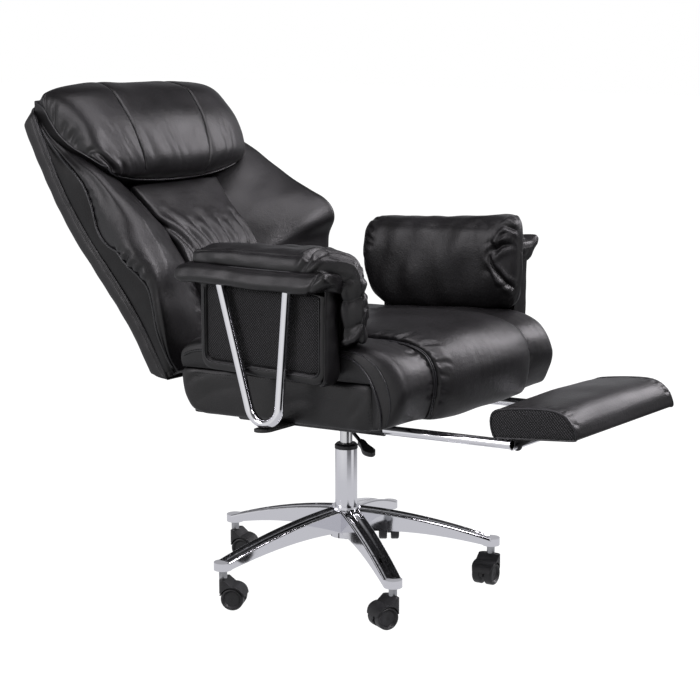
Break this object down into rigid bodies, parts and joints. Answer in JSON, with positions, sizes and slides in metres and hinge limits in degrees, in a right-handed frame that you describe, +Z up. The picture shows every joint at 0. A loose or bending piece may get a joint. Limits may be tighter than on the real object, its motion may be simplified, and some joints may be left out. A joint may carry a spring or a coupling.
{
  "type": "reclining office chair",
  "caption": "Padded swivel office chair with winged back, pillow arms on tube loops, star base on casters, and a pull-out footrest; the back reclines.",
  "frame": {"origin": "on the floor, on the axis of the gas lift", "axes": "+Z up, the chair faces -Y, +X is the sitter's left"},
  "size_m": [0.7658, 1.4453, 1.1011],
  "materials": {
    "chrome": "bright polished chrome plate",
    "chrome_rod": "polished chrome gas spring column",
    "black_plastic": "moulded black nylon, fine texture",
    "bearing_steel": "zinc-plated steel",
    "caster_steel": "plated steel stem",
    "black_steel": "black powder coat",
    "plywood": "bare plywood under black dust cloth",
    "black_leather": "semi-gloss bonded leather, fine grain",
    "mesh_fabric": "woven spacer mesh",
    "caster_plastic": "moulded black nylon hood",
    "caster_wheel": "black nylon wheel, smooth tread"
  },
  "bodies": {
    "base": {"star_base": "chrome", "lift_outer_tube": "chrome", "lift_collar": "black_plastic", "thrust_bearing": "bearing_steel", "caster_stems": "caster_steel"},
    "lift_rod": {"piston_rod": "bearing_steel", "retaining_clip": "bearing_steel"},
    "seat": {"gas_cylinder": "chrome_rod", "seat_mechanism": "black_steel", "seat_board": "plywood", "seat_band": "black_leather", "seat_cushion": "black_leather", "seat_bolts": "bearing_steel", "seat_hinge_plates": "black_steel", "footrest_sleeves": "black_steel", "arm_brackets": "black_steel", "arm_loop_left": "chrome", "arm_loop_right": "chrome", "arm_panel_left": "black_leather", "arm_panel_right": "black_leather", "arm_mesh_inserts": "mesh_fabric", "arm_cushion_left": "black_leather", "arm_cushion_right": "black_leather", "arm_cap_left": "black_leather", "arm_cap_right": "black_leather"},
    "back": {"back_shell": "black_leather", "back_board": "plywood", "back_centre_cushion": "black_leather", "back_wing_left": "black_leather", "back_wing_right": "black_leather", "headrest": "black_leather", "back_hinge_plates": "black_steel", "hinge_pins": "bearing_steel"},
    "footrest": {"footrest_rails": "chrome"},
    "footrest_pad_assembly": {"footrest_board": "plywood", "footrest_pad": "black_leather", "footrest_hinges": "black_steel"},
    "lever": {"height_lever": "black_plastic"},
    "caster_1": {"caster_1_hood": "caster_plastic", "caster_1_axle": "bearing_steel"},
    "caster_1_left": {"caster_1_wheel_left": "caster_wheel"},
    "caster_1_right": {"caster_1_wheel_right": "caster_wheel"},
    "caster_2": {"caster_2_hood": "caster_plastic", "caster_2_axle": "bearing_steel"},
    "caster_2_left": {"caster_2_wheel_left": "caster_wheel"},
    "caster_2_right": {"caster_2_wheel_right": "caster_wheel"},
    "caster_3": {"caster_3_hood": "caster_plastic", "caster_3_axle": "bearing_steel"},
    "caster_3_left": {"caster_3_wheel_left": "caster_wheel"},
    "caster_3_right": {"caster_3_wheel_right": "caster_wheel"},
    "caster_4": {"caster_4_hood": "caster_plastic", "caster_4_axle": "bearing_steel"},
    "caster_4_left": {"caster_4_wheel_left": "caster_wheel"},
    "caster_4_right": {"caster_4_wheel_right": "caster_wheel"},
    "caster_5": {"caster_5_hood": "caster_plastic", "caster_5_axle": "bearing_steel"},
    "caster_5_left": {"caster_5_wheel_left": "caster_wheel"},
    "caster_5_right": {"caster_5_wheel_right": "caster_wheel"}
  },
  "joints": [
    {"name": "swivel", "type": "hinge", "parent": "base", "child": "lift_rod", "pos_m": [0, 0, 0.12], "axis": [0, 0, 1], "continuous": true},
    {"name": "seat_height", "type": "slide", "parent": "lift_rod", "child": "seat", "axis": [0, 0, 1], "range_m": [0, 0.09]},
    {"name": "recline", "type": "hinge", "parent": "seat", "child": "back", "pos_m": [0, 0.245, 0.5], "axis": [1, 0, 0], "range_deg": [0, 20]},
    {"name": "footrest_slide", "type": "slide", "parent": "seat", "child": "footrest", "axis": [0, 0.999, -0.0454], "range_m": [0, 0.165]},
    {"name": "footrest_flip", "type": "hinge", "parent": "footrest", "child": "footrest_pad_assembly", "pos_m": [0, -0.55261, 0.42607], "axis": [1, 0, 0], "range_deg": [0, 180]},
    {"name": "lever_pull", "type": "hinge", "parent": "seat", "child": "lever", "pos_m": [-0.074, -0.044, 0.397], "axis": [-0.7944, 0.6074, 0], "range_deg": [0, 4], "stiffness_Nm_per_rad": 6, "springref_deg": -3.44},
    {"name": "caster_1_swivel", "type": "hinge", "parent": "base", "child": "caster_1", "pos_m": [0.19694, -0.2623, 0.06], "axis": [0, 0, 1], "continuous": true},
    {"name": "caster_1_left_roll", "type": "hinge", "parent": "caster_1", "child": "caster_1_left", "pos_m": [0.17314, -0.26539, 0.025], "axis": [-0.1288, 0.9917, 0], "continuous": true},
    {"name": "caster_1_right_roll", "type": "hinge", "parent": "caster_1", "child": "caster_1_right", "pos_m": [0.17314, -0.26539, 0.025], "axis": [-0.1288, 0.9917, 0], "continuous": true},
    {"name": "caster_2_swivel", "type": "hinge", "parent": "base", "child": "caster_2", "pos_m": [0.31032, 0.10625, 0.06], "axis": [0, 0, 1], "continuous": true},
    {"name": "caster_2_left_roll", "type": "hinge", "parent": "caster_2", "child": "caster_2_left", "pos_m": [0.32938, 0.12082, 0.025], "axis": [0.6074, -0.7944, 0], "continuous": true},
    {"name": "caster_2_right_roll", "type": "hinge", "parent": "caster_2", "child": "caster_2_right", "pos_m": [0.32938, 0.12082, 0.025], "axis": [0.6074, -0.7944, 0], "continuous": true},
    {"name": "caster_3_swivel", "type": "hinge", "parent": "base", "child": "caster_3", "pos_m": [-0.00515, 0.32796, 0.06], "axis": [0, 0, 1], "continuous": true},
    {"name": "caster_3_left_roll", "type": "hinge", "parent": "caster_3", "child": "caster_3_left", "pos_m": [0.00202, 0.30506, 0.025], "axis": [-0.9542, -0.299, 0], "continuous": true},
    {"name": "caster_3_right_roll", "type": "hinge", "parent": "caster_3", "child": "caster_3_right", "pos_m": [0.00202, 0.30506, 0.025], "axis": [-0.9542, -0.299, 0], "continuous": true},
    {"name": "caster_4_swivel", "type": "hinge", "parent": "base", "child": "caster_4", "pos_m": [-0.3135, 0.09645, 0.06], "axis": [0, 0, 1], "continuous": true},
    {"name": "caster_4_left_roll", "type": "hinge", "parent": "caster_4", "child": "caster_4_left", "pos_m": [-0.30245, 0.07514, 0.025], "axis": [-0.8878, -0.4602, 0], "continuous": true},
    {"name": "caster_4_right_roll", "type": "hinge", "parent": "caster_4", "child": "caster_4_right", "pos_m": [-0.30245, 0.07514, 0.025], "axis": [-0.8878, -0.4602, 0], "continuous": true},
    {"name": "caster_5_swivel", "type": "hinge", "parent": "base", "child": "caster_5", "pos_m": [-0.1886, -0.26835, 0.06], "axis": [0, 0, 1], "continuous": true},
    {"name": "caster_5_left_roll", "type": "hinge", "parent": "caster_5", "child": "caster_5_left", "pos_m": [-0.21076, -0.25913, 0.025], "axis": [0.3843, 0.9232, 0], "continuous": true},
    {"name": "caster_5_right_roll", "type": "hinge", "parent": "caster_5", "child": "caster_5_right", "pos_m": [-0.21076, -0.25913, 0.025], "axis": [0.3843, 0.9232, 0], "continuous": true}
  ],
  "couplings": [
    {"joint": "footrest_flip", "follows": "footrest_slide", "rad_per_m": 19.04}
  ]
}
